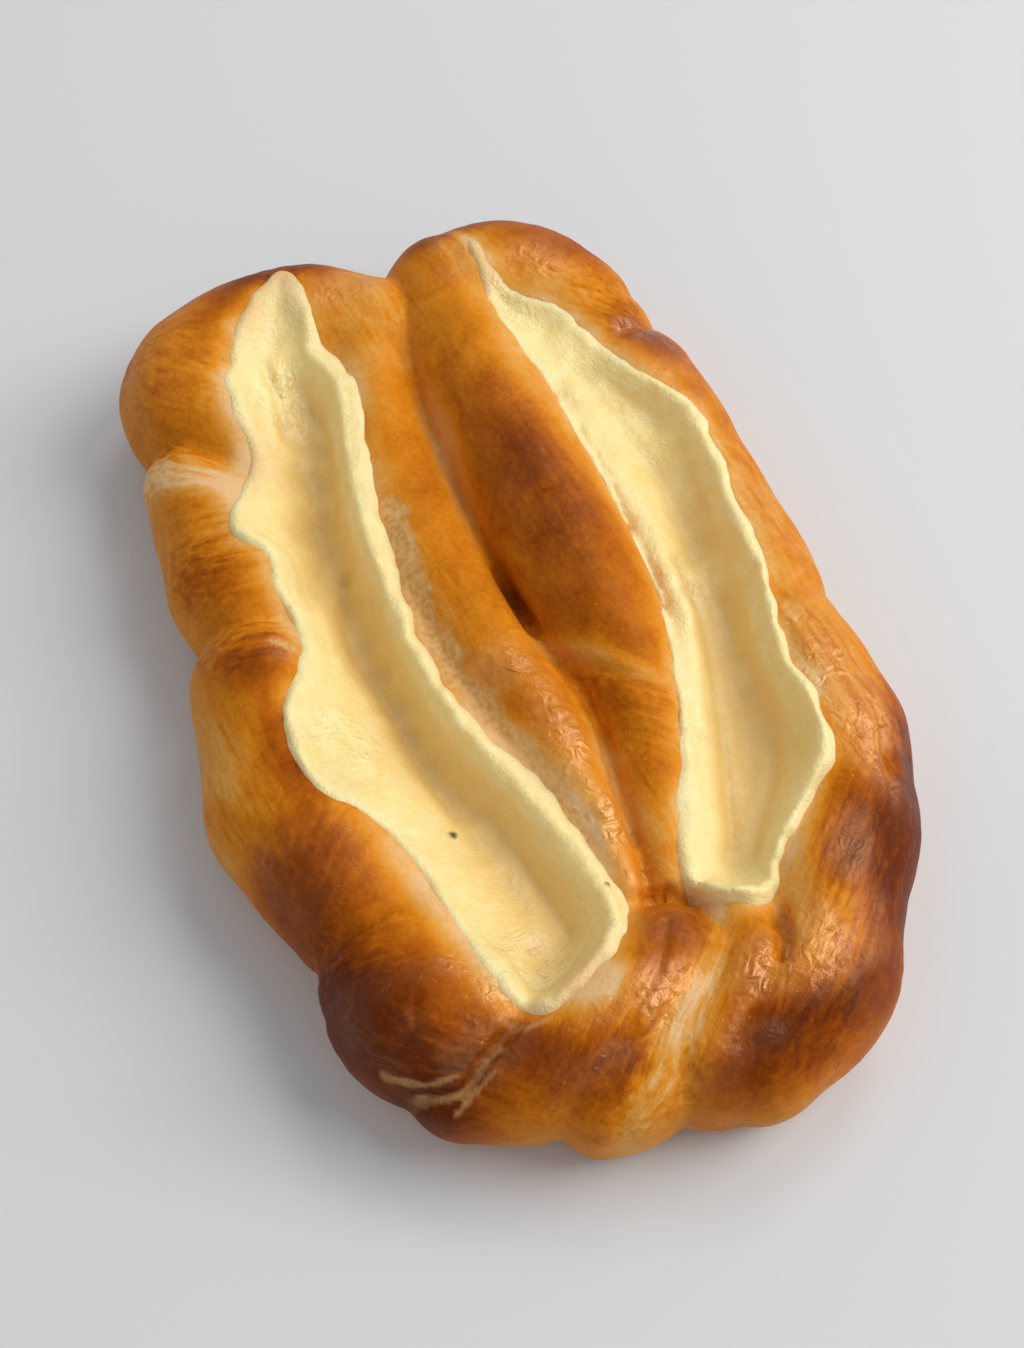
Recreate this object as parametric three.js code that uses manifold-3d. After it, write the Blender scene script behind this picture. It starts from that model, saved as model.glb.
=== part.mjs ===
// A danish pastry: one rope of sweet dough, twisted and bent into a pair of spectacles,
// baked with two pools of custard in its eyes. Millimetres, +Z up. The origin is under
// the middle of the pastry, on the tray that it was baked on. +Y points to the end where
// the rope turns over into the two round shoulders.

import * as THREE from 'three';
import { mergeVertices } from 'three/addons/utils/BufferGeometryUtils.js';
import Module from 'manifold-3d';

const wasm = await Module();
wasm.setup();

// ---- driving dimensions ------------------------------------------------------------

const DOUGH_DEPTH = 16;         // a lobe's depth below its widest level, before the tray flattens it
const TRAY_SIZE = 300;          // the block that cuts the flat underside
const FILLING_GAP = 0.3;        // clearance between custard and dough
const CUSTARD_EDGE = 2;         // thickness of the custard's rounded edge
const POCKET_TOP = 60;          // height that the custard pocket is open to
const LOBE_SIDES = 16;          // points round a lobe's section
const LOBE_STEPS = 2;           // sections between two points of a lobe's spine
const END_STEPS = 3;            // sections in a lobe's rounded end
const FILLING_STATIONS = 22;    // sections along a custard pool
const FILLING_POINTS = 11;      // points across the top of one section

// Each lobe is a swept oval: [x, y, half-width, widest level, height above that level].
const LOBES = {
  floor_left: [[-17, 56, 12, 5, 6], [-21, 2, 16, 5, 6], [-11, -50, 14, 5, 6]],
  floor_middle: [[5, 50, 8, 5, 6], [3, 2, 8, 5, 6], [5, -54, 8, 5, 6]],
  floor_right: [[21, 52, 12, 5, 6], [27, 2, 16, 5, 6], [19, -48, 14, 5, 6]],
  shoulder_left: [
    [-3, 61, 11.5, 12.5, 13.5], [-14, 66.5, 12.5, 12.5, 13.5], [-25.5, 65, 12.6, 12.5, 13.5],
    [-33, 59.5, 12.2, 12.5, 14], [-29, 51, 11.6, 12, 13],
  ],
  outer_left_1: [
    [-37.2, 43.5, 8.4, 12, 9.8], [-36.4, 35, 9.6, 12, 11.8], [-35, 26, 12, 12, 13],
    [-34.2, 19.5, 11.2, 12, 12.8],
  ],
  outer_left_2: [
    [-36.6, 5.5, 11.8, 12, 12.8], [-37, -4, 12.4, 12, 13.2], [-37.5, -12, 13, 12, 12.6],
  ],
  outer_left_3: [
    [-37.5, -15, 12.8, 12, 13], [-35.6, -24, 12.2, 12, 14], [-33.4, -31, 11.2, 12, 12.8],
  ],
  outer_left_4: [
    [-30.8, -44, 12, 12, 13], [-29.5, -49.5, 13, 12, 14], [-23.5, -53.5, 12, 12, 12.5],
  ],
  bottom_left: [
    [-25.5, -58.5, 10.4, 11, 9.5], [-16, -61.5, 10.6, 12, 12], [-5, -59.5, 11, 12.5, 13.5],
    [4, -55, 9.5, 12.5, 12.5],
  ],
  bottom_band: [
    [9.5, -57, 6.5, 12, 11.8], [3, -63.5, 7.5, 12, 11.5], [-4, -68.5, 8, 11.5, 11],
    [-10, -68.5, 7.6, 11, 10],
  ],
  bottom_middle: [[16, -52.5, 7, 12, 11.5], [14.5, -60, 8, 12, 13], [6, -69, 9, 12, 12]],
  bottom_right: [
    [29.5, -49, 10, 12, 13], [27.6, -56, 10.6, 12, 13.5], [23.6, -62.8, 11.8, 12, 14],
    [13, -68.2, 11.4, 12, 12.5],
  ],
  bank_outer: [
    [-27.5, 45, 6, 12, 9], [-29, 33, 6.5, 12, 9], [-28, 14, 6, 12, 8.5], [-29, 0, 6, 12, 8.5],
    [-27.5, -22, 6, 12, 8.5], [-25.5, -38, 6.5, 12, 9], [-21, -50, 6.5, 12, 9],
  ],
  bank_left: [
    [-13.5, 48, 6.5, 12, 9], [-15.5, 28, 6.5, 12, 9.5], [-14, 8, 7, 12, 9.8],
    [-11, -10, 7, 12, 9.8], [-7, -24, 6.5, 12, 9.6], [-3.5, -36, 6, 12, 9.4],
    [-2.5, -46, 6, 12, 9],
  ],
  bank_right: [
    [27, 46, 9, 12, 10], [31, 20, 12, 12, 9.5], [30, -12, 12, 12, 9.5], [24, -40, 9, 12, 9.5],
  ],
  outer_right_1: [[31, -52, 10.5, 12, 12.5], [36.2, -44, 11, 12, 13], [39.8, -30, 11, 12, 13]],
  outer_right_2: [
    [40.2, -30, 11, 12, 13], [40.2, -20, 10.8, 12, 12.8], [39.4, -13, 10.2, 12, 12.4],
  ],
  outer_right_3: [[39.2, -3.5, 10.5, 12, 12], [39, 6, 10.4, 12, 12], [38, 16, 9.6, 12, 11.5]],
  outer_right_4: [[37.8, 16, 9.6, 12, 11.5], [36.8, 28, 10.4, 12, 12], [34.8, 38.5, 11, 12, 12]],
  shoulder_right: [
    [32, 49.5, 10, 12, 12.3], [28.6, 55.6, 12.4, 12.5, 13.5], [21.5, 62.8, 13.2, 13, 14.5],
    [12, 63.5, 12.5, 13, 14.5],
  ],
  inner_left: [
    [-4, 60, 9, 12, 13], [-6.5, 45, 8.5, 12, 12.5], [-7.5, 30, 9.3, 12, 12.5],
    [-6.4, 13, 9.5, 12, 13], [-4, 0, 8.6, 12, 13.5], [-1, -13, 9, 12, 13.5],
    [0.5, -21, 8, 12, 13], [1.5, -29, 6.5, 12, 12], [2.2, -37, 5.2, 12, 11],
    [2.4, -44, 3.8, 12, 9.5],
  ],
  inner_right: [
    [10, 60, 10.5, 13, 14.5], [10.5, 45, 11, 13, 15.5], [11.8, 28, 11.3, 13, 16.5],
    [12.6, 12, 11.5, 13, 17], [13.5, -2, 11, 13, 16], [14.4, -14, 9.2, 12, 14],
    [13.2, -24, 8, 12, 12.5], [11.6, -32, 7, 12, 11], [9.8, -39, 5.7, 12, 9.8],
    [8.7, -44, 5, 12, 8.5],
  ],
};

// The custard pools, as lines that run down the pastry: [y, x, height].
const LEFT_FILLING = {
  outer: [
    [72.5, -14, 24], [66, -21.5, 24], [59, -26, 23.5], [50, -28.5, 23], [42, -28, 22.5], [36, -30.4, 22.5],
    [28, -34.4, 23.5], [21, -31, 22.5], [9, -30.4, 22], [0, -33, 23], [-11, -36.4, 23.5],
    [-18, -34.4, 23], [-26, -27.5, 22.5], [-38, -24, 22], [-53, -19.8, 21], [-58.5, -15.5, 20.5],
  ],
  valley: [
    [72.5, -13.5, 23], [62, -16, 21.5], [52, -18.5, 18.7], [42, -19, 16.8], [30, -21, 15.8],
    [16, -21.5, 15.2], [-5, -20, 15.2], [-17, -18, 15.6], [-28, -14.5, 15.8], [-40, -11, 16.2],
    [-50, -10.5, 17], [-58.5, -14.5, 20],
  ],
  rim: [
    [72.5, -13.2, 23.5], [62, -13.4, 23.2], [50, -12.8, 23], [42, -13.6, 23], [32, -15.6, 23.2],
    [8, -16, 22.8], [-3, -15.4, 22.6], [-14, -13.6, 22.4], [-23, -10, 22], [-32, -6.2, 22],
    [-40, -3.2, 21.8], [-46, -1.8, 21.8], [-52, -6, 21.4], [-58.5, -14, 20.5],
  ],
  inner: [
    [72.5, -12.8, 23], [62, -11.6, 23], [57.5, -11.8, 23], [52, -9.5, 23], [46, -9, 23], [39, -10.2, 22.5],
    [29, -11.7, 22.5], [10, -12.9, 22.5], [-5, -12.2, 22], [-13, -10, 22], [-26, -4, 21.5],
    [-40, 0, 21.5], [-47, 1.3, 21.5], [-53, -2.5, 21], [-58.5, -13.5, 20.5],
  ],
};

const RIGHT_FILLING = {
  inner: [
    [66, 15.6, 26], [60, 15.2, 25.5], [49, 16.7, 25], [42, 19, 24], [28, 21.3, 23], [13, 23, 22.5],
    [-1, 23.3, 22], [-15, 20.8, 22], [-24, 18.3, 22], [-32, 14.7, 22], [-40, 11.5, 21.5],
    [-46, 9.8, 21.5], [-53.5, 17, 21],
  ],
  valley: [
    [66, 16, 25.5], [55, 18.5, 24], [45, 23.5, 22.4], [36, 28, 21], [26, 31.5, 19.8], [14, 33, 18.4],
    [0, 32.4, 17.2], [-12, 31, 16.6], [-22, 29.4, 16.4], [-32, 26.6, 16.6], [-41, 20.8, 17],
    [-46, 18.4, 17.8], [-53.5, 18, 20.5],
  ],
  rim: [
    [66, 16.4, 26], [57, 19, 24.2], [49, 25, 23.4], [38.5, 30.6, 23], [30.5, 35.4, 22.6],
    [20, 37.6, 22.6], [-2, 36.6, 22.8], [-12, 35.2, 23], [-24, 35, 23], [-32.5, 34.4, 22.8],
    [-39, 30, 22.4], [-44, 25, 22], [-50, 20.5, 21.8], [-53.5, 18.5, 21.2],
  ],
  outer: [
    [66, 16.8, 25.5], [60, 18.3, 24.5], [53, 24, 23.5], [43, 30.5, 23], [32.5, 36.5, 22.5],
    [25, 40, 22.5], [10, 39.8, 22.5], [-1, 39.4, 22.5], [-11, 37.8, 22.5], [-19, 36.6, 22.5],
    [-31, 37.2, 22.5], [-38, 34.5, 22], [-48.5, 23.5, 22], [-53.5, 19, 21],
  ],
};

const DOUGH_LOOK = { color: 0xb8651e, roughness: 0.42, metalness: 0 };
const CUSTARD_LOOK = { color: 0xf0d68c, roughness: 0.55, metalness: 0 };

// ---- solids ------------------------------------------------------------------------

// A closed surface through a row of rings, each with the same number of points.
function loft(rings) {
  const count = rings[0].length;
  const positions = rings.flat().flatMap((p) => [p.x, p.y, p.z]);
  const faces = [];
  for (let ring = 0; ring + 1 < rings.length; ring += 1) {
    for (let side = 0; side < count; side += 1) {
      const next = (side + 1) % count;
      const [a, b] = [ring * count + side, ring * count + next];
      faces.push(a, a + count, b, b, a + count, b + count);
    }
  }
  for (const [ring, isFirst] of [[0, true], [rings.length - 1, false]]) {
    const centre = new THREE.Vector3();
    rings[ring].forEach((p) => centre.addScaledVector(p, 1 / count));
    const tip = positions.length / 3;
    positions.push(centre.x, centre.y, centre.z);
    for (let side = 0; side < count; side += 1) {
      const a = ring * count + side;
      const b = ring * count + ((side + 1) % count);
      faces.push(...(isFirst ? [a, b, tip] : [b, a, tip]));
    }
  }
  const geometry = new THREE.BufferGeometry();
  geometry.setAttribute('position', new THREE.Float32BufferAttribute(positions, 3));
  geometry.setIndex(faces);
  return geometry;
}

function toSolid(geometry) {
  const bare = geometry.clone();
  bare.deleteAttribute('normal');
  bare.deleteAttribute('uv');
  const merged = mergeVertices(bare);
  return new wasm.Manifold(new wasm.Mesh({
    numProp: 3,
    vertProperties: new Float32Array(merged.attributes.position.array),
    triVerts: new Uint32Array(merged.index.array),
  }));
}

function toMesh(name, solid, look) {
  const { vertProperties, triVerts } = solid.getMesh();
  const geometry = new THREE.BufferGeometry();
  geometry.setAttribute('position', new THREE.BufferAttribute(vertProperties, 3));
  geometry.setIndex(new THREE.BufferAttribute(triVerts, 1));
  geometry.computeVertexNormals();
  const mesh = new THREE.Mesh(geometry, new THREE.MeshStandardMaterial(look));
  mesh.name = name;
  return mesh;
}

// One oval ring of a lobe, upright across the spine; scale shrinks it towards a rounded end.
function lobeRing(centre, along, halfWidth, rise, scale) {
  const across = new THREE.Vector3(along.y, -along.x, 0);
  const ring = [];
  for (let side = 0; side < LOBE_SIDES; side += 1) {
    const angle = (2 * Math.PI * side) / LOBE_SIDES;
    const height = Math.sin(angle) * (Math.sin(angle) > 0 ? rise : DOUGH_DEPTH);
    ring.push(centre.clone()
      .addScaledVector(across, scale * halfWidth * Math.cos(angle))
      .setZ(centre.z + scale * height));
  }
  return ring;
}

// A lobe of dough: an oval swept along a curved spine, with both ends rounded over.
function lobe(points) {
  const curve = (pick) => new THREE.CatmullRomCurve3(points.map((p) => new THREE.Vector3(...pick(p))));
  const spine = curve(([x, y, , level]) => [x, y, level]);
  const sizes = curve(([, , halfWidth, , rise]) => [halfWidth, rise, 0]);
  const steps = (points.length - 1) * LOBE_STEPS;
  const rings = [];
  const addRing = (t, push, scale) => {
    const along = spine.getTangent(t).setZ(0).normalize();
    const { x: halfWidth, y: rise } = sizes.getPoint(t);
    const centre = spine.getPoint(t).addScaledVector(along, push * halfWidth);
    rings.push(lobeRing(centre, along, halfWidth, rise, scale));
  };
  for (let step = END_STEPS; step > 0; step -= 1) {
    const turn = (step / (END_STEPS + 0.5)) * (Math.PI / 2);
    addRing(0, -Math.sin(turn), Math.cos(turn));
  }
  for (let step = 0; step <= steps; step += 1) addRing(step / steps, 0, 1);
  for (let step = 1; step <= END_STEPS; step += 1) {
    const turn = (step / (END_STEPS + 0.5)) * (Math.PI / 2);
    addRing(1, Math.sin(turn), Math.cos(turn));
  }
  return toSolid(loft(rings));
}

// The point of a line [[y, x, height], ...] at one y, straight between its points.
function lineAt(line, y) {
  const rising = [...line].reverse();
  const last = rising.length - 1;
  let index = rising.findIndex(([pointY]) => pointY > y) - 1;
  if (index < 0) index = y >= rising[last][0] ? last - 1 : 0;
  const [y0, x0, z0] = rising[index];
  const [y1, x1, z1] = rising[index + 1];
  const share = THREE.MathUtils.clamp((y - y0) / (y1 - y0), 0, 1);
  return { x: THREE.MathUtils.lerp(x0, x1, share), z: THREE.MathUtils.lerp(z0, z1, share) };
}

// Height of the custard's top at x, through the four lines' points at one station.
function topHeight(points, x) {
  const right = Math.max(1, points.findIndex((p) => p.x >= x));
  const [a, b] = [points[right - 1], points[right]];
  return THREE.MathUtils.mapLinear(x, a.x, b.x, a.z, b.z);
}

// A custard pool between its left and right edges. A margin grows it all round, and an
// open top makes it the pocket that the dough leaves for it.
function pool(lines, floor, margin = 0, openTop = false) {
  const [top, bottom] = [lines[0][0][0], lines[0].at(-1)[0]];
  const middle = (top + bottom) / 2;
  const halfLength = (top - bottom) / 2;
  const rings = [];
  for (let station = 0; station < FILLING_STATIONS; station += 1) {
    const turn = (Math.PI * (station + 0.5)) / FILLING_STATIONS;
    const y = middle - halfLength * Math.cos(turn);
    const points = lines.map((line) => lineAt(line, y));
    const [left, right] = [points[0].x, points.at(-1).x];
    const upper = [];
    const lower = [];
    for (let i = 0; i < FILLING_POINTS; i += 1) {
      const share = i / (FILLING_POINTS - 1);
      const x = THREE.MathUtils.lerp(left, right, share);
      const edge = THREE.MathUtils.lerp(points[0].z, points.at(-1).z, share) - CUSTARD_EDGE;
      const sag = Math.sqrt(1 - (2 * share - 1) ** 2);
      const grownX = x + margin * (2 * share - 1);
      const grownY = y - margin * Math.cos(turn);
      upper.push(new THREE.Vector3(grownX, grownY, openTop ? POCKET_TOP : topHeight(points, x)));
      lower.push(new THREE.Vector3(grownX, grownY, THREE.MathUtils.lerp(edge, floor, sag) - margin));
    }
    rings.push([...lower, ...upper.reverse()]);
  }
  return toSolid(loft(rings));
}

function underTray() {
  const block = new THREE.BoxGeometry(TRAY_SIZE, TRAY_SIZE, TRAY_SIZE);
  block.translate(0, 0, -TRAY_SIZE / 2);
  return toSolid(block);
}

// ---- pieces ------------------------------------------------------------------------

const POCKET_FLOOR = 8.5;       // lowest level of the custard
const leftLines = [LEFT_FILLING.outer, LEFT_FILLING.valley, LEFT_FILLING.rim, LEFT_FILLING.inner];
const rightLines = [RIGHT_FILLING.inner, RIGHT_FILLING.valley, RIGHT_FILLING.rim, RIGHT_FILLING.outer];

// The largest body of a solid alone, which is solid throughout: a gap that the lobes shut
// between them is baked dough too.
function mainBody(solid) {
  const bodies = solid.decompose();
  bodies.sort((a, b) => b.volume() - a.volume());
  return bodies[0];
}

function doughTwist() {
  const rope = Object.values(LOBES).map(lobe).reduce((joined, next) => joined.add(next));
  return mainBody(rope
    .subtract(underTray())
    .subtract(pool(leftLines, POCKET_FLOOR, FILLING_GAP, true))
    .subtract(pool(rightLines, POCKET_FLOOR, FILLING_GAP, true)));
}

const pastry = new THREE.Group();
pastry.add(toMesh('dough_twist', doughTwist(), DOUGH_LOOK));
pastry.add(toMesh('left_filling', pool(leftLines, POCKET_FLOOR), CUSTARD_LOOK));
pastry.add(toMesh('right_filling', pool(rightLines, POCKET_FLOOR), CUSTARD_LOOK));

export default pastry;
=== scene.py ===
"""The looks of a custard danish: one rope of glazed sweet dough, twisted and bent into a closed pair of
spectacles, with a pool of baked custard in each eye.

The dough is a field of swept ovals that melt into one another, drawn as a fine mesh. Each custard pool
is a smooth sheet stretched over its own rim and valley lines. Lengths are in millimetres until a mesh is
handed to Blender, which works in metres.
"""

import math
from functools import reduce
from itertools import product

import bpy
import numpy as np
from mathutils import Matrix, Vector


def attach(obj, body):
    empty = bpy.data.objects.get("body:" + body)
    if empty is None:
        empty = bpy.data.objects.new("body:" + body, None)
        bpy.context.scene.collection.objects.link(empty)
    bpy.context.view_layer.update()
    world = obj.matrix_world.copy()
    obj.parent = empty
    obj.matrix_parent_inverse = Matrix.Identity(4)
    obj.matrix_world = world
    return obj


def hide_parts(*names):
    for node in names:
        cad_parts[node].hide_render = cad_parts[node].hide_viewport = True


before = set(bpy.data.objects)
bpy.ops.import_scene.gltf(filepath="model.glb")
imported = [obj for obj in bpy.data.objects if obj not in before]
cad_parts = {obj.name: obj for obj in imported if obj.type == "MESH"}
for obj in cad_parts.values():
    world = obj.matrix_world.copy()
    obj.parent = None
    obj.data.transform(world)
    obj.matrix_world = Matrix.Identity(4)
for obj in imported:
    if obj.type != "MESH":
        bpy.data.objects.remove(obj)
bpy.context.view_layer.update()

MM = 0.001

# ---- the dough's lobes ---------------------------------------------------------------------------

DOUGH_DEPTH = 16          # a lobe's depth below its widest level, before the tray flattens it
DOUGH_CELL = 0.62         # spacing of the grid that the dough's surface is drawn from
CUSTARD_CELL = 0.55       # the same for the custard
TRAY_ROUNDING = 2.0       # radius of the edge round the flat underside
GRID_LOW = (-56, -85, -2)     # corners of the space that the dough's grid fills
GRID_HIGH = (56, 85, 35)

# name: (how widely it melts into those before it, [(x, y, half-width, widest level, rise above it), ...])
LOBES = {
    "floor_left": (2.0, [(-17, 56, 12, 5, 6), (-21, 2, 16, 5, 6), (-11, -50, 14, 5, 6)]),
    "floor_middle": (2.0, [(5, 50, 8, 5, 6), (3, 2, 8, 5, 6), (5, -54, 8, 5, 6)]),
    "floor_right": (2.0, [(21, 52, 12, 5, 6), (27, 2, 16, 5, 6), (19, -48, 14, 5, 6)]),
    "shoulder_left": (2.0, [
        (-3, 61, 11.5, 12.5, 13.5), (-14, 66.5, 12.5, 12.5, 13.5), (-25.5, 65, 12.6, 12.5, 13.5),
        (-33, 59.5, 12.2, 12.5, 14), (-29, 51, 11.6, 12, 13)]),
    "outer_left_1": (1.2, [
        (-37.2, 43.5, 8.4, 12, 9.8), (-36.4, 35, 9.6, 12, 11.8), (-35, 26, 12, 12, 13),
        (-34.2, 19.5, 11.2, 12, 12.8)]),
    "outer_left_2": (0.8, [
        (-36.6, 5.5, 11.8, 12, 12.8), (-37, -4, 12.4, 12, 13.2), (-37.5, -12, 13, 12, 12.6)]),
    "outer_left_3": (3.5, [
        (-37.5, -15, 12.8, 12, 13), (-35.6, -24, 12.2, 12, 14), (-33.4, -31, 11.2, 12, 12.8)]),
    "outer_left_4": (1.2, [
        (-30.8, -44, 12, 12, 13), (-29.5, -49.5, 13, 12, 14), (-23.5, -53.5, 12, 12, 12.5)]),
    "bottom_left": (0.8, [
        (-25.5, -58.5, 10.4, 11, 9.5), (-16, -61.5, 10.6, 12, 12), (-5, -59.5, 11, 12.5, 13.5),
        (4, -55, 9.5, 12.5, 12.5)]),
    "bottom_band": (0.8, [
        (9.5, -57, 6.5, 12, 11.8), (3, -63.5, 7.5, 12, 11.5), (-4, -68.5, 8, 11.5, 11),
        (-10, -68.5, 7.6, 11, 10)]),
    "bottom_middle": (1.0, [(16, -52.5, 7, 12, 11.5), (14.5, -60, 8, 12, 13), (6, -69, 9, 12, 12)]),
    "bottom_right": (0.8, [
        (29.5, -49, 10, 12, 13), (27.6, -56, 10.6, 12, 13.5), (23.6, -62.8, 11.8, 12, 14),
        (13, -68.2, 11.4, 12, 12.5)]),
    "bank_outer": (3.0, [
        (-27.5, 45, 6, 12, 9), (-29, 33, 6.5, 12, 9), (-28, 14, 6, 12, 8.5), (-29, 0, 6, 12, 8.5),
        (-27.5, -22, 6, 12, 8.5), (-25.5, -38, 6.5, 12, 9), (-21, -50, 6.5, 12, 9)]),
    "bank_left": (3.0, [
        (-13.5, 48, 6.5, 12, 9), (-15.5, 28, 6.5, 12, 9.5), (-14, 8, 7, 12, 9.8), (-11, -10, 7, 12, 9.8),
        (-7, -24, 6.5, 12, 9.6), (-3.5, -36, 6, 12, 9.4), (-2.5, -46, 6, 12, 9)]),
    "bank_right": (3.0, [
        (27, 46, 9, 12, 10), (31, 20, 12, 12, 9.5), (30, -12, 12, 12, 9.5), (24, -40, 9, 12, 9.5)]),
    "outer_right_1": (3.5, [(31, -52, 10.5, 12, 12.5), (36.2, -44, 11, 12, 13), (39.8, -30, 11, 12, 13)]),
    "outer_right_2": (4.0, [
        (40.2, -30, 11, 12, 13), (40.2, -20, 10.8, 12, 12.8), (39.4, -13, 10.2, 12, 12.4)]),
    "outer_right_3": (1.0, [(39.2, -3.5, 10.5, 12, 12), (39, 6, 10.4, 12, 12), (38, 16, 9.6, 12, 11.5)]),
    "outer_right_4": (3.0, [(37.8, 16, 9.6, 12, 11.5), (36.8, 28, 10.4, 12, 12), (34.8, 38.5, 11, 12, 12)]),
    "shoulder_right": (0.8, [
        (32, 49.5, 10, 12, 12.3), (28.6, 55.6, 12.4, 12.5, 13.5), (21.5, 62.8, 13.2, 13, 14.5),
        (12, 63.5, 12.5, 13, 14.5)]),
    "inner_left": (1.0, [
        (-4, 60, 9, 12, 13), (-6.5, 45, 8.5, 12, 12.5), (-7.5, 30, 9.3, 12, 12.5), (-6.4, 13, 9.5, 12, 13),
        (-4, 0, 8.6, 12, 13.5), (-1, -13, 9, 12, 13.5), (0.5, -21, 8, 12, 13), (1.5, -29, 6.5, 12, 12),
        (2.2, -37, 5.2, 12, 11), (2.4, -44, 3.8, 12, 9.5)]),
    "inner_right": (0.7, [
        (10, 60, 10.5, 13, 14.5), (10.5, 45, 11, 13, 15.5), (11.8, 28, 11.3, 13, 16.5),
        (12.6, 12, 11.5, 13, 17), (13.5, -2, 11, 13, 16), (14.4, -14, 9.2, 12, 14),
        (13.2, -24, 8, 12, 12.5), (11.6, -32, 7, 12, 11), (9.8, -39, 5.7, 12, 9.8), (8.7, -44, 5, 12, 8.5)]),
}

# ---- marks on the crust --------------------------------------------------------------------------

# Cracks where the rope folds on itself: (depth, half-width, [(x, y), ...])
GROOVES = [
    (1.0, 0.9, [(1.7, 10), (2, 6), (2.6, 2), (3.2, -2)]),
    (0.9, 0.8, [(7.4, -21), (6.9, -25), (6.3, -30), (6.3, -34), (5.9, -38)]),
    (1.3, 0.9, [(4.7, -46.4), (6.2, -46.6), (7.7, -46.4), (8.6, -47.6), (10.4, -46.6)]),
    (2.4, 0.8, [(20.9, -53.2), (19.9, -56), (19.5, -58.7), (17.8, -61.9)]),
    (0.7, 0.9, [(2.6, -5.5), (7, -10), (12, -15), (17, -20)]),
    (1.3, 0.9, [(-37, -61), (-32.5, -63), (-28.5, -63.8), (-24.5, -61.5), (-19.5, -59.2)]),
    (0.6, 0.8, [(-30.5, -51), (-33, -56), (-38, -57.5)]),
    (0.6, 0.8, [(-43, -41), (-38, -39.5), (-32, -38.5)]),
    (0.5, 0.7, [(36, -57), (41, -47), (45, -33)]),
    (0.5, 0.7, [(27, -66), (34, -57), (38.5, -47)]),
    (0.5, 0.7, [(5, -52), (1.5, -58), (-5, -63.5)]),
]

# Scorched and pale patches, a few of them painted light and shade: (x, y, radius along, radius across, turn
# in degrees, browning)
PATCHES = [
    (11.5, 15, 27, 8.5, 96, 0.33), (11, -9, 9, 6, 100, 0.06), (6, 56, 12, 5, 90, -0.04),
    # On the next line, the pale stripe at (0.8, 32) is painted light in the crease of the seam between the
    # middle ropes, and the dark streak at (2.2, 4.5) is painted shade in the hole in that seam.
    (17, 33, 15, 3.5, 100, -0.18), (0.8, 32, 15, 2.2, 88, -0.34), (2.2, 4.5, 5, 1.0, 100, 0.34),
    # On the next line, the pale patch at (1.5, -32) is partly paler crust and partly a painted highlight
    # where the wash on the lower middle rope glints.
    (1.5, -32, 9, 3, 100, -0.12), (6.6, -28, 11, 2.0, 94, -0.24), (13, -22, 11, 5, 100, 0.10),
    (-4, 58, 12, 6, 80, -0.18), (-5, 20, 16, 4, 84, 0.08), (-3.5, -16, 6, 4, 100, 0.06),
    (-5, -6, 6, 4, 100, -0.06), (10, -11, 11, 2.0, -43, -0.32), (-6, -19, 8, 2.6, 112, -0.36),
    (-1.6, -33, 8, 2.2, 106, -0.30), (-10, 4, 20, 3, 92, -0.10), (-13, 73, 8, 6, 0, 0.44),
    (-23, 69, 7, 4, 40, 0.20), (-40, 49, 9, 6, -50, 0.08), (-34, 62, 12, 8, 40, 0.06),
    (-14, 77, 18, 6, 0, 0.20), (-27, 54, 9, 3, 75, -0.14), (-41, 43.5, 9, 3.2, -36, -0.44),
    (-33, 37, 6, 3.4, -36, -0.30), (-29, 42, 8, 2.6, 80, -0.24), (-38, 22, 9, 6, -20, 0.18),
    (-46, 22, 9, 3, 80, -0.06), (-35, 4, 8, 5, -25, 0.32), (-46, -8, 8, 3.5, 80, -0.18),
    (-49, 2, 10, 3, 80, -0.10), (-36, -11, 8, 3.6, 96, 0.56), (-34, -14, 5, 3, 80, 0.16),
    (-40, -30, 9, 8, 60, 0.40), (-26, -34, 8, 2.6, 110, -0.14), (-36, -50, 11, 10, -50, 0.48),
    (-43, -46, 15, 5, -62, 0.30), (-23, -46, 9, 2.4, 105, -0.10), (-33, -64, 9, 6, -35, 0.52),
    (-20, -60, 9, 5, -20, 0.28), (-14, -67, 12, 5, -18, 0.30), (-7, -57.5, 4.5, 2.6, 10, -0.46),
    (7, -53.5, 9, 6, 20, 0.34), (13, -64, 12, 3, 60, 0.10), (-4, -67, 8, 3, 45, 0.16),
    (-3, -62, 6, 4, 20, 0.06), (-12, -76, 7, 3, 0, 0.04), (1.5, -66, 17, 3.0, 44, -0.34),
    (9, -72, 9, 4, 30, 0.26), (18, -72, 12, 5, 20, 0.44), (33, -66, 12, 5, 55, 0.30),
    (21, -61, 8, 5, 50, -0.06), (12.2, -51.5, 3.5, 1.5, 90, -0.50), (26, -47, 8, 3, 45, -0.08),
    (31, -40, 6, 2, 45, -0.20), (36, -50, 11, 7, 60, 0.44), (43, -53, 14, 5, 70, 0.42),
    (49, -38, 13, 3.5, 82, 0.40), (42, -20, 12, 5, 97, -0.06), (43, -8, 10, 5, 95, -0.04),
    (40, 30, 16, 4, 95, 0.16), (37, 44, 8, 4, -50, 0.26), (29, 67, 12, 6, -40, 0.28),
    (14, 73, 11, 5, 10, 0.34), (29, 54, 6, 3.5, -30, -0.08), (22, 58, 7, 3, -50, 0.04),
    (9, 65, 7, 2, 100, 0.08), (16, 66, 7, 1.1, 105, -0.34),
]

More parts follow.
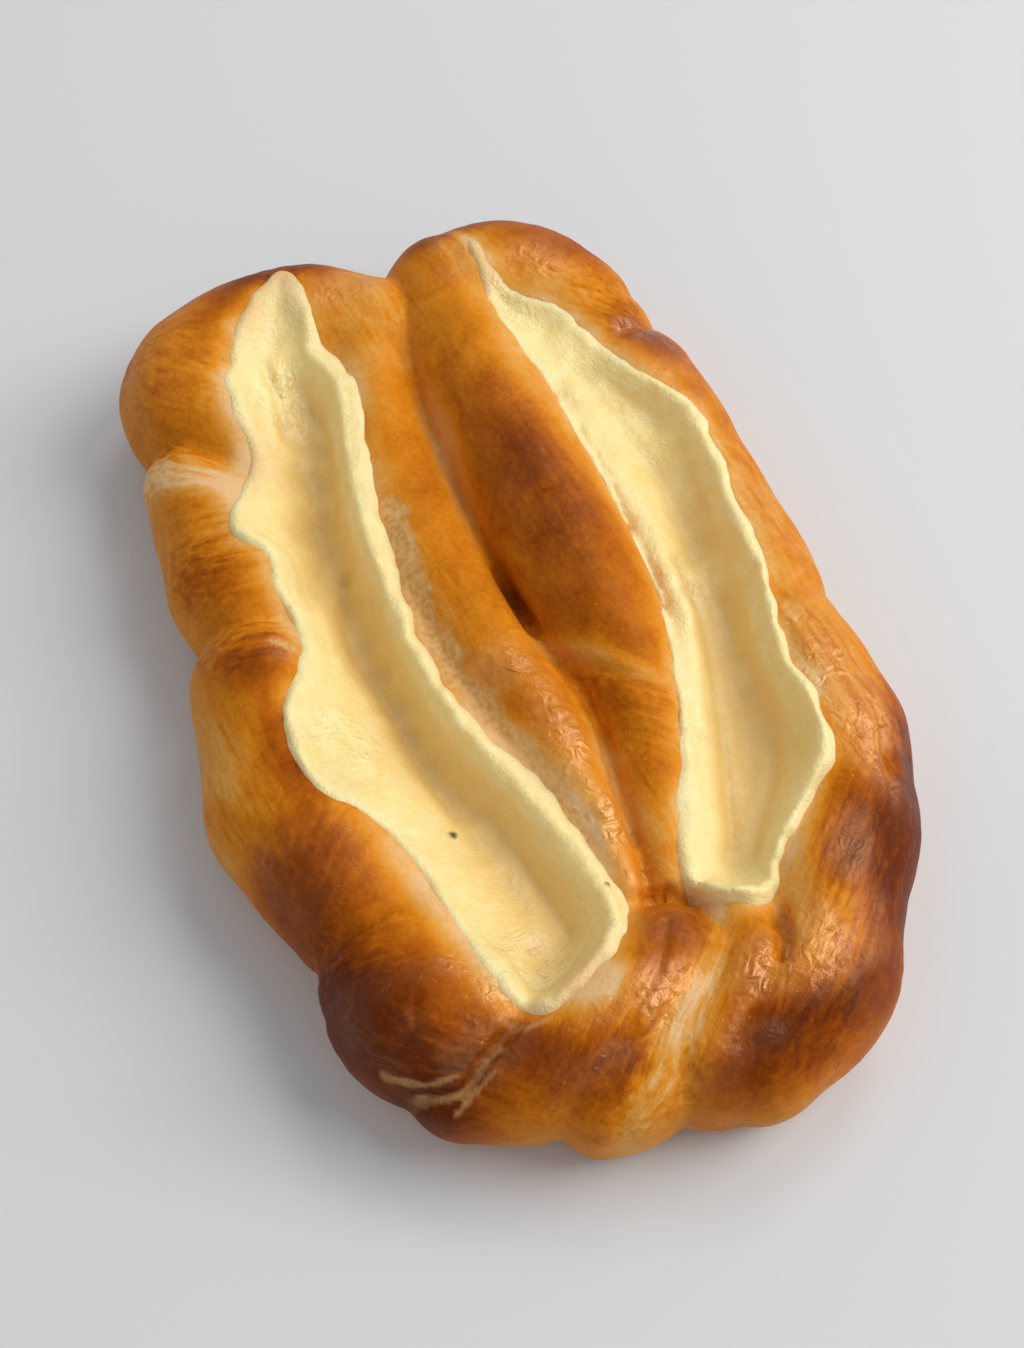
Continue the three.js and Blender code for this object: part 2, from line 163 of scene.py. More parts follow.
# Thickly egg-washed and wrinkled patches: (x, y, radius along, radius across, turn, thickness)
GLAZE = [
    (21.5, -61, 9, 6.5, 45, 1.0), (32, -50, 7, 4, 60, 0.5), (29, -64, 9, 4, 60, 0.35),
    (13.5, -63, 6, 3.5, 60, 1.0), (-4, -63, 12, 5, 20, 1.0), (2.4, -29, 18, 4.6, 98, 1.0),
    (41.5, -27, 17, 5, 97, 1.0), (-6, 65, 6, 4, 0, 0.9), (25.5, 60, 7, 4, -30, 0.8),
    (39, 31, 9, 3, 95, 0.7), (-21, -52, 8, 3.4, -50, 1.0), (-4, -8, 6, 4, 0, 1.0), (-30, 6, 5, 3, 0, 0.8),
    (-24, -60, 7, 4, 0, 0.8), (37, 43, 6, 3.4, -50, 0.9), (-38, -28, 9, 7, 0, 0.2),
    (-36, -52, 9, 7, 0, 0.25), (9, -70, 11, 4, 20, 0.4), (6, -52, 8, 4, 0, 0.4), (-40, 58, 8, 7, 0, 0.2),
    (42, 5, 14, 3.4, 95, 0.4), (12, 64, 5, 3, 90, 0.6), (12, 20, 24, 7, 95, 0.16),
]

# The ways the crust's stretch marks run, in degrees
GRAINS = {"grain_up": 100, "grain_right": 48, "grain_left": -38, "grain_level": -8}

# Stretch marks, on the grain nearest each zone's turn: (x, y, radius along, radius across, turn, strength)
STREAKS = [
    (42, -26, 22, 9, 100, 1.0), (33, -52, 14, 9, 55, 1.0), (20, -66, 15, 9, 45, 0.9),
    (1, -67, 18, 5, 42, 1.4), (-8, -63, 12, 7, 40, 0.7), (-30, -60, 13, 5, -35, 1.0),
    (-38, -42, 10, 5, -8, 0.8), (-39, 43, 12, 5, -38, 1.4), (-38, 26, 10, 10, -8, 0.9),
    (-39, 10, 10, 5, -10, 1.1), (-45, -10, 14, 7, 98, 0.7), (-36, 60, 14, 10, -50, 0.7),
    (43, 8, 18, 6, 105, 0.8), (33, 50, 13, 6, -40, 0.9), (14, 70, 12, 7, 100, 0.6),
    (12, -18, 14, 7, -45, 0.6), (-2, 60, 10, 8, 90, 0.6), (-10, 4, 20, 5, 90, 0.6),
    (11, 20, 26, 9, 95, 0.35), (-36, -26, 10, 9, 40, 0.4), (-14, 72, 12, 6, 95, 0.7),
    (10, -38, 14, 4, 96, 0.5),
]

# Bare torn crumb, where the skin split: (half-width, bareness, [(x, y), ...])
TEARS = [
    (2.6, 1.0, [(-10.6, 24), (-11.2, 15), (-11.4, 8), (-10.8, 0), (-9.4, -6), (-7.4, -13)]),
    (1.4, 0.8, [(-7.4, -13), (-4.6, -20), (-2.4, -28), (-0.6, -36)]),
    (0.6, 0.55, [(-36.5, -61.5), (-32.5, -63.5), (-28.5, -64.4), (-25, -62.2), (-22, -61)]),
    (0.5, 0.5, [(-30, -66), (-26.5, -64.5), (-24, -63.5)]),
    (0.4, 0.5, [(-38, -58), (-33, -61.3), (-28.5, -62)]),
    (0.4, 0.5, [(-21, -57.5), (-18.5, -59.5), (-15, -60)]),
    (0.7, 0.8, [(20.6, -55), (20, -59), (18, -62)]),
    (0.7, 0.9, [(-34, 7.5), (-31.5, 5.5)]),
]

# Blisters, as a ring with a sunk middle: (x, y, radius, height)
BLISTERS = [
    (-43.5, -25, 0.9, 0.35), (-47.2, -27.5, 0.7, 0.3), (3, -32.8, 1.1, 0.5), (1.2, -36.5, 0.8, 0.4),
    (-40.5, -23, 0.5, 0.25), (-30.5, -50.5, 0.6, 0.25), (4.5, 47, 0.6, -0.3), (43, -27, 0.7, -0.35),
]

# Where the custard's skin is wet and wrinkled: (x, y, reach)
WET = [(-20, 50, 7), (-13, -50, 6), (20, 54, 5), (-29, -10, 6), (25, 0, 7)]

# Where the custard thins to a film that the crust shows through: (x, y, reach)
FILMS = [(-14.5, 71, 6.5), (-22, 66, 5), (15.8, 62, 7), (-26, 40, 5), (-9, -57, 6)]

# Dark specks on the custard: (x, y, radius)
SPECKS = [(-17.8, -27.5, 0.8), (-0.4, -43.5, 0.5)]

# ---- the custard pools ---------------------------------------------------------------------------

LEFT_OUTLINE = [
    (-14, 73), (-18, 69.8), (-22.2, 65.2), (-25.9, 59.3), (-28.3, 53.6), (-28.5, 48), (-28, 42.5),
    (-30.4, 36.1), (-32.8, 32.5), (-34.4, 28.6), (-33.8, 25), (-31, 21.4), (-31, 15.8), (-30.4, 9.3),
    (-30.7, 4.8), (-33, 0), (-35.4, -4.4), (-36.4, -11), (-35, -17), (-31, -21.6), (-27.5, -26),
    (-25.2, -31), (-23.6, -38), (-21.5, -46), (-19.5, -53), (-17.8, -57), (-14.2, -58.7), (-8.5, -57),
    (-2.5, -53), (1, -48.5), (1.3, -45), (0, -40), (-1.8, -33), (-4, -26), (-7, -20), (-10, -13),
    (-12.2, -5), (-13, 2), (-12.9, 10), (-12.4, 20), (-11.7, 29), (-10.2, 39), (-9, 46), (-9.5, 52),
    (-12, 57.5), (-11.6, 62), (-11.5, 67),
]
RIGHT_OUTLINE = [
    (15.6, 66), (15.2, 61), (15.7, 55), (16.7, 49.4), (19, 42), (20.6, 36.6), (21.3, 28.4), (22, 20.3),
    (23, 13), (23.4, 6), (23.3, -1), (22.6, -7), (20.8, -15), (18.3, -24), (14.7, -32), (11.5, -40),
    (9.8, -46), (11.3, -49.5), (15, -52.4), (19, -53.5), (21.6, -52), (23.5, -48.5), (28.5, -43),
    (33, -39.5), (36, -36.5), (37.2, -31), (37.2, -25), (36.6, -19), (37.8, -11), (39.5, -1), (39.6, 10),
    (40.4, 20), (39.8, 27), (36.5, 32.5), (33, 37.5), (30.5, 43), (28, 48.5), (24, 53), (20.5, 55.8),
    (18.3, 60), (17.2, 65),
]

# Lines inside a pool, [(x, y, height), ...]: the rim's crest, the valley's two feet and the slope between
LEFT_LINES = {
    "rim": [(-14.6, 56, 23.2), (-12.8, 50, 23), (-13.6, 42, 23), (-15.6, 32, 23.2), (-16.6, 22, 23.2),
            (-16, 8, 22.8), (-15.4, -3, 22.6), (-13.6, -14, 22.4), (-10, -23, 22), (-6.2, -32, 22),
            (-3.2, -40, 21.8), (-1.8, -46, 21.8), (-5.5, -51.5, 21.4), (-13, -56, 21.2)],
    "foot": [(-16.8, 52, 18.6), (-17.2, 42, 16), (-19.4, 30, 15), (-20, 20, 14.6), (-19, 8, 14.6),
             (-18, -4, 14.8), (-16.2, -15, 15), (-12.8, -25, 15.2), (-10, -34, 15.4), (-8, -42, 15.6),
             (-7.4, -47.5, 16.4)],
    "floor": [(-20, 50, 18.8), (-22, 34, 16.6), (-23.4, 16, 15.6), (-23.4, 6, 15.6), (-21.4, -6, 15.8),
              (-19.8, -17, 16), (-16.4, -28, 16.2), (-14, -40, 16.6), (-13, -50, 17.2)],
    "slope": [(-17, 62, 23.4), (-23, 54, 21.8), (-25.5, 40, 20.8), (-28.5, 27, 21), (-27.2, 12, 20.4),
              (-28, 0, 21), (-29, -10, 21.4), (-25, -20, 20.6), (-21, -33, 19.6), (-18, -45, 19)],
}
RIGHT_LINES = {
    "rim": [(25, 49, 23.4), (30.6, 38.5, 23), (35.4, 30.5, 22.6), (37.6, 20, 22.6), (37.2, 8, 22.6),
            (36.6, -2, 22.8), (35.2, -12, 23), (35, -24, 23), (34.4, -32.5, 22.8), (30, -39, 22.4),
            (25, -44.2, 22), (20.5, -50, 21.8), (15.5, -50, 21.8)],
    "foot": [(24.4, 44, 22), (29.4, 35, 21), (33.4, 27, 19.8), (34.6, 16, 18.8), (34, 6, 18),
             (32.8, -4, 17), (31.6, -14, 16.6), (31.2, -25, 16.6), (29, -32.5, 16.6), (24.2, -38.5, 16.8),
             (19.6, -44.5, 17.4)],
    "floor": [(21.8, 47, 22.6), (25.6, 38, 21.4), (29, 26, 19.8), (31.2, 12, 18.2), (31, 0, 17.2),
              (29.6, -10, 16.4), (27.6, -20, 16.2), (24.6, -30, 16.4), (20.8, -38, 16.8),
              (17.6, -44.6, 17.6)],
    "slope": [(17.6, 55, 24.2), (19.9, 46, 23.4), (22.9, 36, 22.4), (25.2, 22, 21.4), (26.8, 8, 20.8),
              (26.4, -6, 20.4), (23.6, -17, 20.2), (20, -28, 20), (15.8, -40, 19.6), (14, -46.5, 20)],
}

# Beads that stand along the pools' far sides: (height, half-width, [(x, y), ...])
BEADS = [
    (0.8, 1.0, [(-13.2, 60), (-14.2, 56), (-12, 50), (-12.6, 44), (-14, 37), (-15, 30), (-15.8, 20),
                (-15.6, 10)]),
    (0.4, 1.8, [(-15, 2), (-12.5, -10), (-8.5, -21), (-4.6, -32), (-2, -41), (-1.6, -47)]),
    (0.8, 1.2, [(-1, -45), (-2.8, -50.5), (-9, -55.4), (-14.5, -57)]),
    (0.9, 1.1, [(38, -4), (36.8, -12), (35.4, -19), (35.8, -27), (35, -34), (31.6, -38.8), (27.2, -42.8),
                (22.8, -47.6), (20, -51.6), (15.4, -51), (12, -48)]),
    (0.5, 1.2, [(38.8, 26), (39, 16), (38.2, 6), (38, -4)]),
    (0.6, 1.2, [(12.2, -47.6), (13.4, -41), (16.4, -33), (19.8, -25), (22.4, -16)]),
    (0.5, 2.4, [(24, 45), (27.5, 35), (31.5, 24)]),
    (0.8, 1.6, [(26.2, 6), (26, -4), (24.6, -13), (22.2, -23), (19.4, -32), (17.2, -40), (16.4, -44)]),
    (0.7, 1.8, [(-21.8, 20), (-25, 12), (-25, 5), (-22.8, -4), (-21.4, -14), (-18.8, -24)]),
    (0.6, 1.6, [(-13.4, -27), (-11.6, -35), (-10.4, -43), (-11, -48)]),
    (0.5, 1.5, [(-19.4, 57), (-19.8, 51), (-18.6, 46)]),
    (0.5, 1.3, [(-23, 56), (-22.4, 50), (-23.4, 44)]),
]

# Folds in the custard's skin: (depth, half-width, [(x, y), ...])
FOLDS = [
    (0.9, 0.9, [(-16.2, 50), (-15.8, 44), (-17, 36), (-18.4, 28), (-19.4, 19)]),
    (0.7, 0.9, [(-19.6, 19), (-22.4, 12), (-22.4, 6), (-20, -5), (-18.8, -15), (-16.4, -24)]),
    (0.7, 0.9, [(-11.4, -26), (-9.4, -34), (-8, -42), (-7, -47)]),
    (0.7, 0.9, [(32.8, -5), (32.2, -14), (31.8, -26), (29, -33.6), (24.2, -39.8), (20.8, -46)]),
    (0.4, 1.4, [(25, 40), (28, 30), (31.6, 16), (31.2, 4)]),
    (0.9, 0.9, [(28.6, 4), (28.4, -6), (26.8, -15), (24.4, -25), (21.6, -34), (19.4, -42)]),
    (0.5, 0.8, [(-21.4, 57), (-21, 51), (-21.8, 45)]),
]

# Lips where the custard ran out thick over the crust: (x, y, reach, extra height)
LIPS = [
    (-34, 27.5, 6, 0.8), (-35.5, -9, 9, 0.8), (-24, -36, 7, 0.3), (-17, -57, 6, 0.5), (-1, -50, 6, 0.8),
    (-10.5, 50, 9, 0.4), (36.5, -31, 9, 0.9), (29, -42.5, 8, 0.9), (20, -52.5, 6, 0.9), (12, -50, 5, 0.8),
    (39, -3, 9, 0.3), (37, 31, 6, 0.4), (18, -24, 9, 0.5), (10.5, -44, 5, 0.7),
]

# ---- grids, lines and noise ----------------------------------------------------------------------


def spline(points, steps):
    """Catmull-Rom samples through rows of numbers, steps to each span."""
    rows = np.array(points, float)
    padded = np.vstack([2 * rows[0] - rows[1], rows, 2 * rows[-1] - rows[-2]])
    samples = []
    for a, b, c, d in zip(padded, padded[1:], padded[2:], padded[3:]):
        for t in np.arange(steps) / steps:
            samples.append(0.5 * (2 * b + (c - a) * t + (2 * a - 5 * b + 4 * c - d) * t**2
                                  + (3 * b - a - 3 * c + d) * t**3))
    return np.array([*samples, rows[-1]])


def closed_spline(points, steps):
    """A closed smooth outline through points."""
    count = len(points)
    return spline([*points[-2:], *points, *points[:3]], steps)[2 * steps:(count + 2) * steps]


def nearest_on(line, x, y):
    """Plan distance from each (x, y) to a line, and the line's columns at the nearest place."""
    best = np.full(x.shape, np.inf)
    columns = np.zeros((*x.shape, line.shape[1]))
    for a, b in zip(line, line[1:]):
        run = b[:2] - a[:2]
        share = ((x - a[0]) * run[0] + (y - a[1]) * run[1]) / max(run @ run, 1e-9)
        share = np.clip(share, 0, 1)
        gap = np.hypot(x - a[0] - share * run[0], y - a[1] - share * run[1])
        closer = gap < best
        best = np.where(closer, gap, best)
        columns[closer] = (a + share[..., None] * (b - a))[closer]
    return best, columns


def plan_distance(points, x, y, steps=4):
    """Plan distance from each (x, y) to a smooth line through points."""
    return nearest_on(spline(points, steps), x, y)[0]


def inside_distance(outline, x, y):
    """Plan distance to a closed outline, above zero inside it."""
    distance, _ = nearest_on(np.vstack([outline, outline[:1]]), x, y)
    inside = np.zeros(x.shape, bool)
    for (ax, ay), (bx, by) in zip(outline, np.roll(outline, -1, 0)):
        crosses = (ay > y) != (by > y)
        slope = (bx - ax) / (by - ay if by != ay else 1e-9)
        inside ^= crosses & (x < ax + (y - ay) * slope)
    return np.where(inside, distance, -distance)


def smooth_min(a, b, width):
    """The lower of two fields, melted together over width."""
    share = np.clip(0.5 + 0.5 * (b - a) / width, 0, 1)
    return b + (a - b) * share - width * share * (1 - share)


def smooth_max(a, b, width):
    """The higher of two fields, melted together over width."""
    return -smooth_min(-a, -b, width)


def smoothstep(low, high, value):
    """Rises smoothly from 0 at low to 1 at high, or falls where low is the larger."""
    t = np.clip((value - low) / (high - low), 0, 1)
    return t * t * (3 - 2 * t)


def noise(points, size, seed):
    """Smooth random values from -1 to 1 at rows of x, y, z, with bumps about size across."""
    lattice = np.random.default_rng(seed).uniform(-1, 1, (48, 48, 48))
    place = points / size
    cell = np.floor(place).astype(int)
    share = place - cell
    share = share * share * (3 - 2 * share)
    total = np.zeros(len(points))
    for corner in product((0, 1), repeat=3):
        weight = np.prod(np.where(corner, share, 1 - share), axis=1)
        total += weight * lattice[tuple(((cell + corner) % 48).T)]
    return total


def plan_noise(x, y, size, seed):
    """The same over the plan."""
    return noise(np.stack([x, y, np.zeros_like(x)], axis=-1).reshape(-1, 3), size, seed).reshape(x.shape)


def ridges(rows, x, y):
    """Height of soft ridges along lines: rows of (height, half-width, [(x, y), ...])."""
    heights = [height * np.exp(-((plan_distance(line, x, y) / width) ** 2)) for height, width, line in rows]
    return np.sum(heights, axis=0)


def spot(x, y, middle_x, middle_y, reach, power=4):
    """A soft round spot, 1 in its middle and fading at its reach."""
    return np.exp(-((np.hypot(x - middle_x, y - middle_y) / reach) ** power))


def blob(row, x, y, power=1.3):
    """A soft oval patch, 1 in its middle: row starts x, y, radius along, radius across, turn."""
    angle = math.radians(row[4])
    u = ((x - row[0]) * math.cos(angle) + (y - row[1]) * math.sin(angle)) / row[2]
    v = ((y - row[1]) * math.cos(angle) - (x - row[0]) * math.sin(angle)) / row[3]
    return np.exp(-((u * u + v * v) ** power))


def grid_axes(low, high, cell):
    """The grid's x, y and z places between two corners."""
    return [np.arange(a, b + cell, cell) for a, b in zip(low, high)]


# ---- meshes from fields --------------------------------------------------------------------------


def surface_nets(field, axes):
    """Points and quads of the surface round the space where field is below zero."""
    shape = tuple(n - 1 for n in field.shape)
    cell = axes[0][1] - axes[0][0]
    total = np.zeros((*shape, 3))
    count = np.zeros(shape)
    for axis, side in product(range(3), product((0, 1), repeat=2)):
        start = np.insert(side, axis, 0)
        end = np.insert(side, axis, 1)
        a = field[tuple(slice(s, s + n) for s, n in zip(start, shape))]
        b = field[tuple(slice(s, s + n) for s, n in zip(end, shape))]
        crossing = (a < 0) != (b < 0)
        count += crossing
        for k in range(3):
            total[..., k][crossing] += (a / np.where(crossing, a - b, 1))[crossing] if k == axis else start[k]
    active = count > 0
    index = np.full(shape, -1)
    index[active] = np.arange(active.sum())
    low = np.array([a[0] for a in axes])
    points = low + cell * (np.argwhere(active) + total[active] / count[active][:, None])
    quads = []
    inside = field < 0
    for axis in range(3):
        u, v = (axis + 1) % 3, (axis + 2) % 3
        first = inside.take(range(shape[axis]), axis)
        second = inside.take(range(1, shape[axis] + 1), axis)
        edges = np.argwhere(first != second)
        for side in (u, v):
            edges = edges[(edges[:, side] > 0) & (edges[:, side] < shape[side])]
        corners = []
        for du, dv in ((-1, -1), (0, -1), (0, 0), (-1, 0)):
            place = edges.copy()
            place[:, u] += du
            place[:, v] += dv
            corners.append(index[tuple(place.T)])
        faces = np.array(corners).T
        leaves = first[tuple(edges.T)]
        quads += [faces[leaves], faces[~leaves][:, ::-1]]
    return points, np.vstack(quads)


def relax(points, quads, rounds):
    """Evens out the mesh without shrinking it."""
    a = quads.ravel()
    b = np.roll(quads, -1, axis=1).ravel()
    count = np.bincount(a, minlength=len(points))
    for push in (0.5, -0.53) * rounds:
        mean = np.stack([np.bincount(a, points[b, k], len(points)) / count for k in range(3)], axis=1)
        points = points + push * (mean - points)
    return points


def normals_of(points, quads):
    """Each point's normal, from the quads round it."""
    p = points[quads]
    across = np.cross(p[:, 2] - p[:, 0], p[:, 3] - p[:, 1])
    sums = [np.bincount(quads.ravel(), np.repeat(across[:, k], 4), len(points)) for k in range(3)]
    total = np.stack(sums, axis=1)
    return total / np.linalg.norm(total, axis=1)[:, None]


def build_mesh(name, points, quads, attributes, material):
    """A smooth-shaded object in metres, with one number per point for each attribute."""
    mesh = bpy.data.meshes.new(name)
    mesh.from_pydata((points * MM).tolist(), [], quads.tolist())
    mesh.shade_smooth()
    for key, values in attributes.items():
        mesh.attributes.new(key, "FLOAT", "POINT").data.foreach_set("value", values.astype(np.float32))
    mesh.materials.append(material)
    piece = bpy.data.objects.new(name, mesh)
    bpy.context.scene.collection.objects.link(piece)
    return piece


# ---- dough ---------------------------------------------------------------------------------------


def lobe_field(points, x, y, z):
    """How far each place of the grid is outside one lobe."""
    distance, spine = nearest_on(spline(points, 6), x, y)
    r = distance[..., None]
    half_width, level, rise = (spine[..., k, None] for k in (2, 3, 4))
    height = z - level
    reach = np.where(height > 0, rise, DOUGH_DEPTH)
    oval = np.sqrt((r / half_width) ** 2 + (height / reach) ** 2)
    steepness = np.sqrt((r / half_width**2) ** 2 + (height / reach**2) ** 2)
    return oval * (oval - 1) / np.maximum(steepness, 1e-3)


def dough_field(axes):
    """How far each place of the grid is outside the whole dough, which the tray flattens from below."""
    x, y = np.meshgrid(axes[0], axes[1], indexing="ij")
    z = axes[2][None, None, :]
    field = None
    for width, points in LOBES.values():
        lobe = lobe_field(points, x, y, z)
        field = lobe if field is None else smooth_min(field, lobe, width)
    return smooth_max(field, -z + np.zeros_like(field), TRAY_ROUNDING)


def top_of(field, axes):
    """Height of the highest surface over each place of the plan, or nan."""
    inside = field < 0
    last = inside.shape[2] - 1 - np.argmax(inside[:, :, ::-1], axis=2)
    last = np.clip(last, 0, field.shape[2] - 2)
    i, j = np.indices(last.shape)
    a, b = field[i, j, last], field[i, j, last + 1]
    height = axes[2][last] + (axes[2][1] - axes[2][0]) * a / np.where(a != b, a - b, 1)
    return np.where(inside.any(axis=2), height, np.nan)


def sample_plan(values, axes, x, y):
    """Values of a plan grid at any x, y, straight between its places."""
    cell = axes[0][1] - axes[0][0]
    u = np.clip((x - axes[0][0]) / cell, 0, values.shape[0] - 1.001)
    v = np.clip((y - axes[1][0]) / cell, 0, values.shape[1] - 1.001)
    i, j = u.astype(int), v.astype(int)
    u, v = u - i, v - j
    near = values[i, j] * (1 - v) + values[i, j + 1] * v
    far = values[i + 1, j] * (1 - v) + values[i + 1, j + 1] * v
    return near * (1 - u) + far * u


LUMPS = ((0.3, 9, 1), (0.12, 4, 2))     # the dough's unevenness: (height, size, seed)
STRETCH_RIDGE = 0.16      # height of the ridges along the grain
STRETCH_LENGTH = 6        # how many times longer than wide they are
WASH_WRINKLE = 0.28       # height of the wrinkles in thick egg wash
TEAR_DEPTH = 0.12
TEAR_ROUGHNESS = 0.25     # height of the bare crumb's bumps
BLISTER_RIM = 0.45        # half-width of a blister's rim
TRAY_BROWNING = 0.31
CREST_BROWNING = 0.13     # more than near the tray
UNDERSIDE_BROWNING = 0.12
SHORE_PALENESS = 0.34     # beside the custard, which kept the crust moist
SHORE_REACH = 2.4


def stretch_strengths(x, y, upper):
    """How strongly each grain shows at each point."""
    strengths = {name: np.zeros(len(x)) for name in GRAINS}
    for row in STREAKS:
        name = min(GRAINS, key=lambda key: abs(GRAINS[key] - row[4]))
        strengths[name] = np.maximum(strengths[name], row[5] * blob(row, x, y) * upper)
    return strengths


def stretch_ridges(points, strengths):
    """Height of the fine ridges along the grains."""
    x, y, z = points.T
    height = np.zeros(len(points))
    for name, strength in strengths.items():
        angle = math.radians(GRAINS[name])
        along = x * math.cos(angle) + y * math.sin(angle)
        across = y * math.cos(angle) - x * math.sin(angle)
        drawn_out = np.stack([along / STRETCH_LENGTH, across, z], axis=1)
        height += STRETCH_RIDGE * strength * noise(drawn_out, 1.5, 8)
    return height


def bare_crumb(points, upper):
    """How bare the crumb is where the skin split, with a ragged edge."""
    x, y, _ = points.T
    fray = 0.4 * noise(points, 2.5, 3) + 0.3 * noise(points, 1.2, 12)
    torn = np.zeros(len(points))
    for width, bareness, line in TEARS:
        gap = plan_distance(line, x, y) + width * fray
        torn = np.maximum(torn, bareness * smoothstep(width, width * 0.4, gap) * upper)
    return torn


def egg_wash(points, normals, upper):
    """How thick the egg wash is, broken up where it ran off."""
    x, y, _ = points.T
    wash = np.max([row[5] * blob(row, x, y, 2.0) for row in GLAZE], axis=0) * upper
    return wash * smoothstep(-0.8, 0, noise(points, 4, 9)) * smoothstep(0.2, 0.6, normals[:, 2])


def browning_and_painted_light(points, normals, outside, upper):
    """How brown the crust is, from 0 for raw to 1 for scorched, with a few patches of painted light and shade
    among the browning.
    """
    x, y, z = points.T
    bake_and_painted_light = TRAY_BROWNING + CREST_BROWNING * smoothstep(2, 22, z)
    bake_and_painted_light += 0.05 * noise(points, 14, 5) + 0.05 * noise(points, 5, 6)
    # Most patches are browning; a few are painted shade and painted highlights.
    for row in PATCHES:
        bake_and_painted_light += row[5] * blob(row, x, y) * smoothstep(2, 10, z)
    shore = np.exp(-((np.maximum(outside, 0) / SHORE_REACH) ** 1.5))
    shore *= (0.8 + 0.6 * noise(points, 5, 7)) * upper
    bake_and_painted_light -= SHORE_PALENESS * np.clip(shore, 0, 1)
    bake_and_painted_light += UNDERSIDE_BROWNING * smoothstep(-0.3, -0.9, normals[:, 2]) * smoothstep(1.5, 0.2, z)
    return np.clip(bake_and_painted_light, 0, 1)


def dough_marks(points, normals, pools):
    """Displacement of the crust along its normals, and what its material needs, one number per point."""
    x, y, z = points.T
    upper = smoothstep(4, 14, z) * smoothstep(-0.2, 0.4, normals[:, 2])
    outside = -np.max([inside_distance(pool[0], x, y) for pool in pools], axis=0)
    grains = stretch_strengths(x, y, upper)
    torn = bare_crumb(points, upper)
    wash = egg_wash(points, normals, upper)
    push = sum(height * noise(points, size, seed) for height, size, seed in LUMPS)
    push += stretch_ridges(points, grains) - ridges(GROOVES, x, y) * upper
    push += torn * (TEAR_ROUGHNESS * noise(points, 1.6, 4) - TEAR_DEPTH)
    push *= smoothstep(0.2, 2.5, outside)
    for middle_x, middle_y, radius, height in BLISTERS:
        gap = np.hypot(x - middle_x, y - middle_y)
        push += height * np.exp(-(((gap - radius) / BLISTER_RIM) ** 2)) * upper
    push += WASH_WRINKLE * wash * (0.5 - np.abs(noise(points, 3.2, 10)) - np.abs(noise(points, 1.8, 11)))
    bake_and_painted_light = browning_and_painted_light(points, normals, outside, upper)
    return push, {"bake_and_painted_light": bake_and_painted_light, "torn": torn, "glaze": wash, **grains}


def make_dough(field, axes, pools, material):
    """The crust's mesh, with its grooves, tears and wrinkles in it."""
    points, quads = surface_nets(field, axes)
    points = relax(points, quads, 2)
    normals = normals_of(points, quads)
    push, attributes = dough_marks(points, normals, pools)
    points = points + normals * push[:, None]
    points[:, 2] = np.maximum(points[:, 2], 0)
    return build_mesh("danish_dough", points, quads, attributes, material)


# ---- custard -------------------------------------------------------------------------------------

CUSTARD_LIFT = 0.25       # how far the custard's edge stands above the dough
CUSTARD_THICKNESS = 4.0   # in the middle of a pool
CUSTARD_FLOOR = 8.5       # no custard lies lower
EDGE_THICKNESS = 1.2
EDGE_ROUNDING = 1.3
EDGE_OVERLAP = 0.6        # how far the custard reaches under the crust past its outline
SHEET_LOOSENESS = 2.0     # how freely the sheet may pass by its own points
SHORE_WIDTH = (0.8, 4.5)  # where the edge's level gives way to the sheet, inside the outline
STEEP_CLIMB = (0.8, 1.6)  # slopes of dough between which the edge stops being rounded over
POCKET_INSET = 0.7        # how far inside the outline the pocket in the dough starts
POCKET_GAP = 0.25         # clearance between the custard's underside and the dough
DRY_EDGE = 2.5            # how far the dry, grainy edge reaches into a pool


def thin_plate(centres):
    """The smoothest sheet through rows of x, y, height, as a function of x and y."""
    plan = centres[:, :2]

    def bend(gap_squared):
        return gap_squared * np.log(gap_squared + 1e-6)

    gaps = ((plan[:, None] - plan[None]) ** 2).sum(2)
    flat = np.column_stack([np.ones(len(plan)), plan])
    system = np.block([[bend(gaps) + SHEET_LOOSENESS * np.eye(len(plan)), flat], [flat.T, np.zeros((3, 3))]])
    weights = np.linalg.solve(system, np.append(centres[:, 2], [0, 0, 0]))

    def height(x, y):
        total = weights[-3] + weights[-2] * x + weights[-1] * y
        for (cx, cy), weight in zip(plan, weights):
            total = total + weight * bend((x - cx) ** 2 + (y - cy) ** 2)
        return total

    return height


def custard_sheet(outline_points, lines, dough_top, dough_axes):
    """The pool's outline and its height over the plan."""
    outline = closed_spline(outline_points, 5)
    edge = outline[::5]
    edge_height = sample_plan(dough_top, dough_axes, edge[:, 0], edge[:, 1]) + CUSTARD_LIFT
    rows = [np.column_stack([edge, edge_height])]
    rows += [spline(line, 2) for line in lines.values()]
    return outline, thin_plate(np.vstack(rows))


def edge_lift(x, y):
    """How far the custard stands above the dough along its edge."""
    lift = CUSTARD_LIFT + 0.2 * plan_noise(x, y, 6, 32)
    for *place, extra in LIPS:
        lift = lift + extra * spot(x, y, *place)
    return lift


